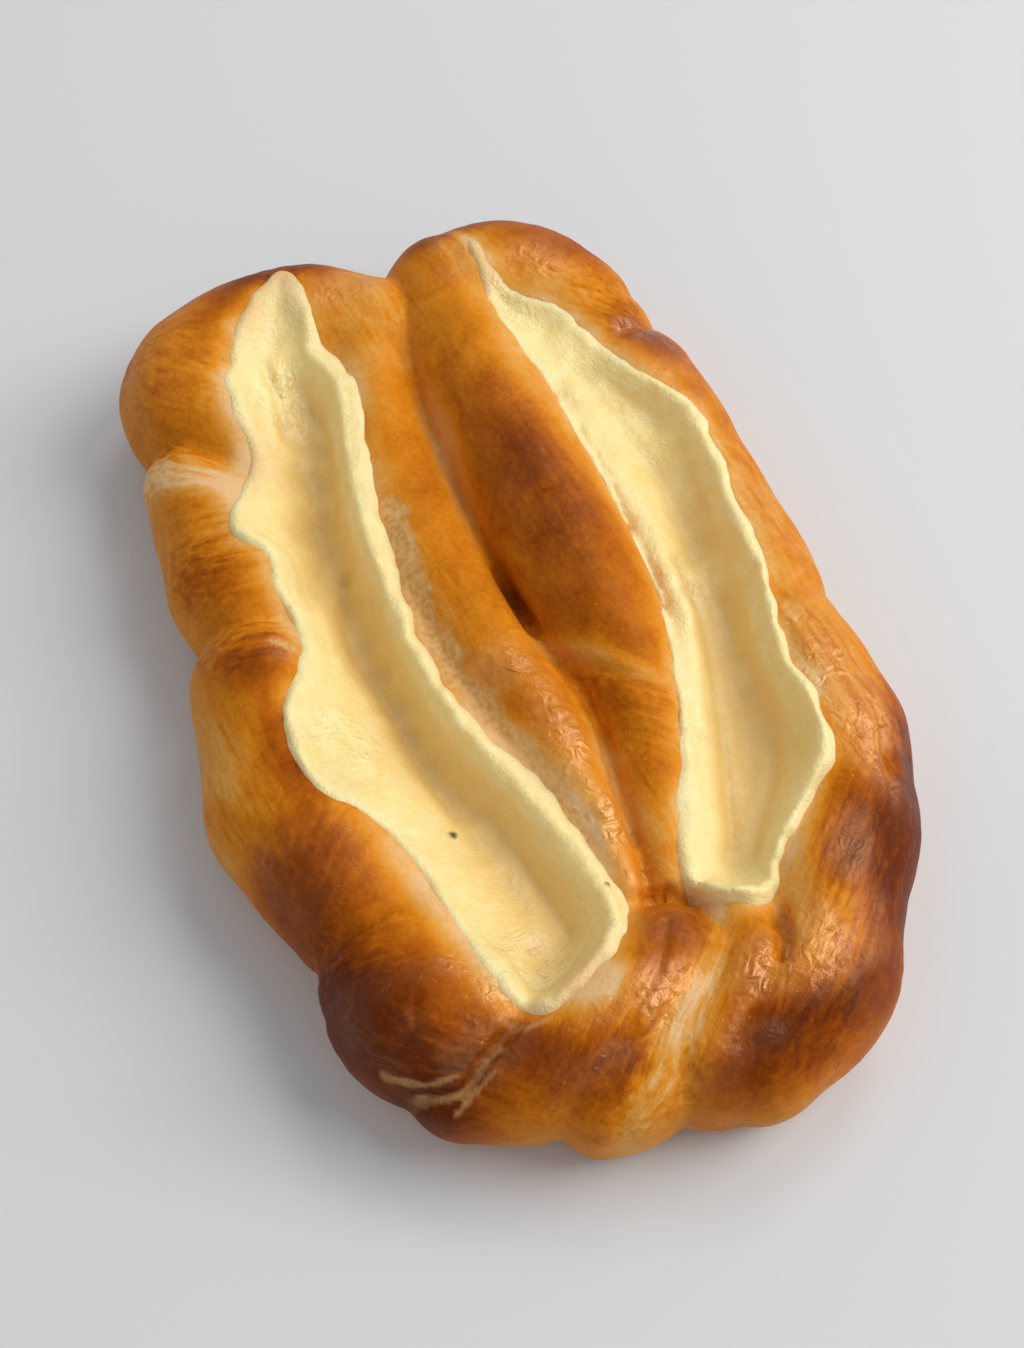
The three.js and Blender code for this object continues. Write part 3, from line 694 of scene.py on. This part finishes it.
def pool_levels(pool, dough_top, dough_axes, x, y):
    """Distance inside the outline, and the custard's top and underside, over the plan."""
    outline, height = pool
    step = x[1, 0] - x[0, 0]
    inward = inside_distance(outline, x, y)
    ragged = 0.55 * plan_noise(x, y, 3.4, 31) + 0.2 * plan_noise(x, y, 1.4, 33)
    inward = inward + ragged * smoothstep(6, 1, np.abs(inward))
    dough = sample_plan(dough_top, dough_axes, x, y)
    dough_rise = np.gradient(dough, step)
    lift = edge_lift(x, y) * np.sqrt(1 + np.minimum(np.hypot(*dough_rise), 2) ** 2)
    sheet = height(x, y)
    shore = smooth_max(dough + lift, sheet, 1.0)
    top = shore + (sheet - shore) * smoothstep(*SHORE_WIDTH, inward)
    top = top + ridges(BEADS, x, y) - ridges(FOLDS, x, y)
    lumps = 0.4 * plan_noise(x, y, 5.5, 34) + 0.2 * plan_noise(x, y, 2.4, 35)
    top = top + lumps * smoothstep(0.5, 3, inward)
    # The edge is rounded over, but not where it lies against dough that climbs away from it.
    climb = -sum(rise * turn for rise, turn in zip(dough_rise, np.gradient(inward, step)))
    roundness = np.sin(np.clip(inward / EDGE_ROUNDING, 0, 1) * math.pi / 2)
    roundness = np.maximum(roundness, smoothstep(*STEEP_CLIMB, climb))
    top = dough + (top - dough) * roundness + 1.5 * np.minimum(inward, 0)
    slope = np.hypot(*np.gradient(top, step))
    thickness = EDGE_THICKNESS + CUSTARD_THICKNESS * smoothstep(0, 8, inward)
    underside = np.minimum(dough, top) - thickness * np.sqrt(1 + slope**2)
    return inward, top, np.maximum(underside, CUSTARD_FLOOR)


def carve_pocket(field, axes, pool, dough_top):
    """Takes the room of one custard pool out of the dough's field."""
    x, y = np.meshgrid(axes[0], axes[1], indexing="ij")
    inward, _, underside = pool_levels(pool, dough_top, axes, x, y)
    z = axes[2][None, None, :]
    pocket = np.maximum((POCKET_INSET - inward)[..., None], underside[..., None] + POCKET_GAP - z)
    return np.maximum(field, -pocket)


def custard_field(pool, axes, dough_top, dough_axes):
    """How far each place of the grid is outside one custard pool."""
    x, y = np.meshgrid(axes[0], axes[1], indexing="ij")
    inward, top, underside = pool_levels(pool, dough_top, dough_axes, x, y)
    steepness = np.sqrt(1 + np.hypot(*np.gradient(top, CUSTARD_CELL)) ** 2)[..., None]
    z = axes[2][None, None, :]
    above = (z - top[..., None]) / steepness
    below = (underside[..., None] - z) / steepness
    return np.maximum(smooth_max(above, below, 0.6), -inward[..., None] - EDGE_OVERLAP)


def custard_marks(points, normals, inside):
    """What the custard's material needs, one number per point."""
    x, y, z = points.T
    # Painted shade: the custard is coloured darker on its steep walls and low in its valleys, where shade
    # falls.
    shaded_walls = smoothstep(0.85, 0.4, normals[:, 2]) * smoothstep(22, 20, z)
    painted_shade = smoothstep(20.5, 15.5, z) + 0.8 * shaded_walls
    film = np.max([spot(x, y, *place, power=2) for place in FILMS], axis=0) * np.exp(-inside / 4)
    wet = np.sum([spot(x, y, *place) for place in WET], axis=0)
    speck = np.zeros(len(points))
    for middle_x, middle_y, radius in SPECKS:
        speck += smoothstep(radius, radius * 0.4, np.hypot(x - middle_x, y - middle_y))
    edge = np.exp(-inside / DRY_EDGE)
    return {"edge": edge, "painted_shade": np.clip(painted_shade, 0, 1), "film": film, "wet": wet, "speck": speck}


def make_custard(name, pool, dough_top, dough_axes, material):
    """One pool's mesh, grainy along its edge."""
    outline, _ = pool
    low = [*(outline.min(0) - 3), 7]
    high = [*(outline.max(0) + 3), 30]
    axes = grid_axes(low, high, CUSTARD_CELL)
    points, quads = surface_nets(custard_field(pool, axes, dough_top, dough_axes), axes)
    points = relax(points, quads, 2)
    normals = normals_of(points, quads)
    inside = np.clip(inside_distance(outline, points[:, 0], points[:, 1]), 0, 20)
    push = 0.2 * noise(points, 1.7, 23) * np.exp(-inside / DRY_EDGE) + 0.06 * noise(points, 1.3, 24)
    points = points + normals * (push * smoothstep(0, 1.5, inside))[:, None]
    return build_mesh(name, points, quads, custard_marks(points, normals, inside), material)


# ---- materials -----------------------------------------------------------------------------------


class Shader:
    """A material's node tree, built one node at a time."""

    def __init__(self, name):
        self.material = bpy.data.materials.new(name)
        self.material.use_nodes = True
        self.tree = self.material.node_tree
        self.surface = self.tree.nodes["Principled BSDF"]

    def add(self, kind, inputs=None, **settings):
        node = self.tree.nodes.new("ShaderNode" + kind)
        for key, value in settings.items():
            setattr(node, key, value)
        for key, value in (inputs or {}).items():
            self.put(node.inputs[key], value)
        return node

    def put(self, socket, value):
        if isinstance(value, bpy.types.NodeSocket):
            self.tree.links.new(value, socket)
        else:
            socket.default_value = value

    def set(self, **inputs):
        for key, value in inputs.items():
            self.put(self.surface.inputs[key.replace("_", " ")], value)

    def number(self, name):
        return self.add("Attribute", attribute_name=name).outputs["Fac"]

    def math(self, operation, a, b=0.0, c=0.0):
        node = self.add("Math", operation=operation)
        for socket, value in zip(node.inputs, (a, b, c)):
            self.put(socket, value)
        return node.outputs[0]

    def place(self, scale=1000.0):
        """Object coordinates in millimetres."""
        coordinates = self.add("TexCoord").outputs["Object"]
        return self.add("Mapping", {"Vector": coordinates, "Scale": (scale,) * 3}).outputs[0]

    def clouds(self, where, size, detail=3.0, distortion=0.0):
        """Noise with features of about size millimetres, from 0 to 1."""
        inputs = {"Vector": where, "Scale": 1 / size, "Detail": detail, "Distortion": distortion}
        return self.add("TexNoise", inputs).outputs["Fac"]

    def wrinkles(self, where, scale, distortion):
        """A net of sharp winding ridges."""
        inputs = {"Vector": where, "Scale": scale, "Detail": 4.0, "Distortion": distortion}
        return self.add("TexNoise", inputs, noise_type="RIDGED_MULTIFRACTAL").outputs["Fac"]

    def dots(self, where, scale, stops):
        """Scattered round dots: a ramp over the distance from each one's middle."""
        cells = self.add("TexVoronoi", {"Vector": where, "Scale": scale}, feature="F1")
        return self.ramp(cells.outputs["Distance"], stops)

    def strands(self, where, angle, size):
        """Noise drawn out seven times along an angle in the plan, from -0.5 to 0.5."""
        inputs = {"Vector": where, "Rotation": (0, 0, math.radians(angle)), "Scale": (7, 1, 1)}
        turned = self.add("Mapping", inputs, vector_type="TEXTURE").outputs[0]
        return self.math("SUBTRACT", self.clouds(turned, size, 4, 0.4), 0.5)

    def ramp(self, value, stops):
        node = self.add("ValToRGB", {"Fac": value})
        elements = node.color_ramp.elements
        while len(elements) < len(stops):
            elements.new(0.5)
        for element, (position, colour) in zip(elements, stops):
            element.position = position
            element.color = (*colour, 1)
        return node.outputs["Color"]

    def mix(self, share, a, b):
        node = self.add("Mix", data_type="RGBA")
        for socket, value in zip((node.inputs["Factor"], node.inputs[6], node.inputs[7]), (share, a, b)):
            self.put(socket, value if not isinstance(value, tuple) else (*value, 1))
        return node.outputs[2]

    def bump(self, height, distance, strength=1.0, normal=None):
        inputs = {"Height": height, "Distance": distance, "Strength": strength}
        if normal is not None:
            inputs["Normal"] = normal
        return self.add("Bump", inputs).outputs[0]


BLACK = (0, 0, 0)
WHITE = (1, 1, 1)

# The crust's colour as it browns
CRUST_COLOURS = [
    (0.00, (0.80, 0.50, 0.23)),
    (0.20, (0.74, 0.35, 0.07)),
    (0.40, (0.68, 0.23, 0.010)),
    (0.60, (0.46, 0.115, 0.003)),
    (0.80, (0.26, 0.050, 0.0015)),
    (1.00, (0.12, 0.018, 0.0006)),
]
CRUMB_COLOURS = [(0.3, (0.58, 0.29, 0.07)), (0.6, (0.78, 0.48, 0.20))]
WASH_TINT = (1.0, 0.68, 0.42, 1.0)      # of the light that the egg wash throws back

CUSTARD_DEEP = (0.93, 0.68, 0.23)
CUSTARD_PALE = (0.97, 0.79, 0.37)
# Painted shade, for the custard's valleys and steep walls
CUSTARD_PAINTED_SHADE = (0.85, 0.56, 0.18)
CUSTARD_DRY = (0.97, 0.80, 0.43)
CUSTARD_FILM = (0.80, 0.47, 0.19)
SPECK_COLOUR = (0.05, 0.035, 0.01)
FLOOR_COLOUR = (0.68, 0.69, 0.70, 1)


def crust_material():
    """Egg-washed crust: browned in soft patches, crackled and glossy where the wash is thick."""
    s = Shader("crust")
    where = s.place()
    torn, glaze = s.number("torn"), s.number("glaze")
    mottle = s.math("MULTIPLY_ADD", s.clouds(where, 4.5, 6, 0.8), 0.30, -0.15)
    speckle = s.math("MULTIPLY_ADD", s.clouds(where, 0.8, 5, 0.4), 0.22, -0.11)
    fleck = s.dots(where, 0.45, [(0.05, WHITE), (0.13, BLACK)])
    grains = [
        s.math("MULTIPLY", s.number(name), s.strands(where, angle, 1.1)) for name, angle in GRAINS.items()]
    stretch = reduce(lambda a, b: s.math("ADD", a, b), grains)
    browning_and_painted_light = s.math("ADD", s.math("ADD", s.number("bake_and_painted_light"), mottle), speckle)
    browning_and_painted_light = s.math("MULTIPLY_ADD", fleck, -0.12, browning_and_painted_light)
    browning_and_painted_light = s.math("MULTIPLY_ADD", stretch, 0.75, browning_and_painted_light)
    crumb = s.ramp(s.clouds(where, 0.9, 4), CRUMB_COLOURS)
    colour = s.mix(s.math("MULTIPLY", torn, 0.85), s.ramp(browning_and_painted_light, CRUST_COLOURS), crumb)
    normal = s.bump(s.clouds(where, 1.4, 6, 0.8), 0.5 * MM, 0.30)
    normal = s.bump(stretch, 0.4 * MM, 0.6, normal)
    crackle = s.math("MULTIPLY_ADD", glaze, 0.8, 0.02)
    normal = s.bump(s.wrinkles(where, 0.42, 1.0), 0.7 * MM, crackle, normal)
    normal = s.bump(fleck, 0.15 * MM, 0.4, normal)
    normal = s.bump(s.clouds(where, 0.3, 3), 0.15 * MM, 0.4, normal)
    satin = s.math("MULTIPLY_ADD", s.clouds(where, 6, 3), 0.2, 0.36)
    roughness = s.math("MULTIPLY_ADD", glaze, -0.2, s.math("MULTIPLY_ADD", torn, 0.3, satin))
    s.set(Base_Color=colour, Roughness=roughness, Normal=normal, IOR=1.6,
          Specular_IOR_Level=s.math("MULTIPLY_ADD", glaze, 0.92, 0.07), Specular_Tint=WASH_TINT,
          Subsurface_Weight=0.05, Subsurface_Scale=2 * MM, Subsurface_Radius=(1.0, 0.35, 0.12),
          Coat_Weight=s.math("MULTIPLY_ADD", glaze, 0.08, 0.01), Coat_Roughness=0.12, Coat_Normal=normal)
    return s.material


def custard_material():
    """Baked custard: pale yellow, satin, curdled and grainy, paler and drier at its edge, with shade painted
    darker into its valleys and onto its steep walls.
    """
    s = Shader("custard")
    where = s.place()
    edge, painted_shade, wet = s.number("edge"), s.number("painted_shade"), s.number("wet")
    curdled = s.ramp(s.clouds(where, 3.5, 6, 0.8), [(0.3, BLACK), (0.7, WHITE)])
    body = s.mix(curdled, CUSTARD_DEEP, CUSTARD_PALE)
    # Paints shade into the valleys and onto the steep walls.
    body = s.mix(s.math("MULTIPLY", painted_shade, 0.7), body, CUSTARD_PAINTED_SHADE)
    dry = s.math("MULTIPLY", s.math("MULTIPLY_ADD", s.clouds(where, 1.8, 4), 0.9, 0.2), edge)
    colour = s.mix(dry, body, CUSTARD_DRY)
    baked = s.math("MULTIPLY_ADD", s.clouds(where, 1.2, 4), 0.6, 0.7)
    colour = s.mix(s.math("MULTIPLY", s.number("film"), baked), colour, CUSTARD_FILM)
    colour = s.mix(s.number("speck"), colour, SPECK_COLOUR)
    normal = s.bump(s.clouds(where, 1.3, 6, 1.0), 0.6 * MM, 0.45)
    normal = s.bump(s.wrinkles(where, 0.5, 1.2), 0.7 * MM, s.math("MULTIPLY", wet, 0.7), normal)
    pits = s.dots(where, 0.7, [(0.05, BLACK), (0.2, WHITE)])
    normal = s.bump(pits, 0.2 * MM, 0.3, normal)
    grain = s.clouds(where, 0.45, 6, 0.3)
    normal = s.bump(grain, 0.3 * MM, s.math("MULTIPLY_ADD", edge, 0.3, 0.3), normal)
    gloss = s.math("MULTIPLY_ADD", s.clouds(where, 7, 2), 0.3, 0.22)
    s.set(Base_Color=colour, Roughness=s.math("MULTIPLY_ADD", edge, 0.2, gloss), Normal=normal, IOR=1.45,
          Specular_IOR_Level=0.5, Subsurface_Weight=0.3, Subsurface_Scale=3 * MM,
          Subsurface_Radius=(1.0, 0.6, 0.25), Coat_Weight=s.math("MULTIPLY_ADD", wet, 0.6, 0.2),
          Coat_Roughness=0.2, Coat_Normal=normal)
    return s.material


def floor_material():
    s = Shader("pale_floor")
    s.set(Base_Color=FLOOR_COLOUR, Roughness=0.6)
    return s.material


# ---- stage ---------------------------------------------------------------------------------------

CAMERA_AZIMUTH = -19.0
CAMERA_ELEVATION = 62.0
CAMERA_DISTANCE = 0.312
CAMERA_LENS = 55.0
CAMERA_TARGET = Vector((-0.0005, -0.003, 0.012))
SKY_COLOUR = (0.93, 0.96, 1.0, 1)
SKY_STRENGTH = 0.48
FLOOR_REACH = 3.0

# Soft round lights: (name, azimuth, elevation, distance, width, power, colour)
LIGHTS = [
    ("window", 80, 47, 1.3, 0.9, 9.4, (1.0, 0.985, 0.96)),
    ("lamp", 135, 55, 1.2, 0.35, 1.6, (1.0, 0.97, 0.93)),
    ("pane", 80, 26, 1.2, 0.45, 2.0, (1.0, 0.97, 0.93)),
]


def direction(azimuth, elevation):
    """The way from the pastry to a place round it, azimuth 0 being in front of it."""
    a, e = math.radians(azimuth), math.radians(elevation)
    return Vector((math.sin(a) * math.cos(e), -math.cos(a) * math.cos(e), math.sin(e)))


def add_camera():
    data = bpy.data.cameras.new("camera")
    data.lens = CAMERA_LENS
    camera = bpy.data.objects.new("camera", data)
    back = direction(CAMERA_AZIMUTH, CAMERA_ELEVATION)
    camera.location = CAMERA_TARGET + back * CAMERA_DISTANCE
    camera.rotation_euler = (-back).to_track_quat("-Z", "Y").to_euler()
    bpy.context.scene.collection.objects.link(camera)
    bpy.context.scene.camera = camera


def add_area_light(name, azimuth, elevation, distance, size, power, colour):
    data = bpy.data.lights.new(name, "AREA")
    data.shape = "DISK"
    data.size = size
    data.energy = power
    data.color = colour
    light = bpy.data.objects.new(name, data)
    back = direction(azimuth, elevation)
    light.location = back * distance
    light.rotation_euler = (-back).to_track_quat("-Z", "Y").to_euler()
    bpy.context.scene.collection.objects.link(light)


def add_world():
    world = bpy.data.worlds.new("studio")
    world.use_nodes = True
    background = world.node_tree.nodes["Background"]
    background.inputs["Color"].default_value = SKY_COLOUR
    background.inputs["Strength"].default_value = SKY_STRENGTH
    bpy.context.scene.world = world


def add_floor(material):
    mesh = bpy.data.meshes.new("floor")
    corners = [(x * FLOOR_REACH, y * FLOOR_REACH, 0) for x, y in ((-1, -1), (1, -1), (1, 1), (-1, 1))]
    mesh.from_pydata(corners, [], [(0, 1, 2, 3)])
    mesh.materials.append(material)
    floor = bpy.data.objects.new("floor", mesh)
    bpy.context.scene.collection.objects.link(floor)


# ---- the scene -----------------------------------------------------------------------------------

bpy.context.scene.view_settings.view_transform = "Standard"
add_camera()
add_world()
for light in LIGHTS:
    add_area_light(*light)
add_floor(floor_material())

dough_axes = grid_axes(GRID_LOW, GRID_HIGH, DOUGH_CELL)
whole_dough = dough_field(dough_axes)
dough_top = np.nan_to_num(top_of(whole_dough, dough_axes), nan=0.0)
left_pool = custard_sheet(LEFT_OUTLINE, LEFT_LINES, dough_top, dough_axes)
right_pool = custard_sheet(RIGHT_OUTLINE, RIGHT_LINES, dough_top, dough_axes)
carved_dough = carve_pocket(whole_dough, dough_axes, left_pool, dough_top)
carved_dough = carve_pocket(carved_dough, dough_axes, right_pool, dough_top)

custard = custard_material()
dough = make_dough(carved_dough, dough_axes, (left_pool, right_pool), crust_material())
left_custard = make_custard("danish_custard_left", left_pool, dough_top, dough_axes, custard)
right_custard = make_custard("danish_custard_right", right_pool, dough_top, dough_axes, custard)

for piece, node, slot in (
    (dough, "dough_twist", "crust"),
    (left_custard, "left_filling", "custard"),
    (right_custard, "right_filling", "custard"),
):
    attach(piece, "root")
    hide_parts(node)
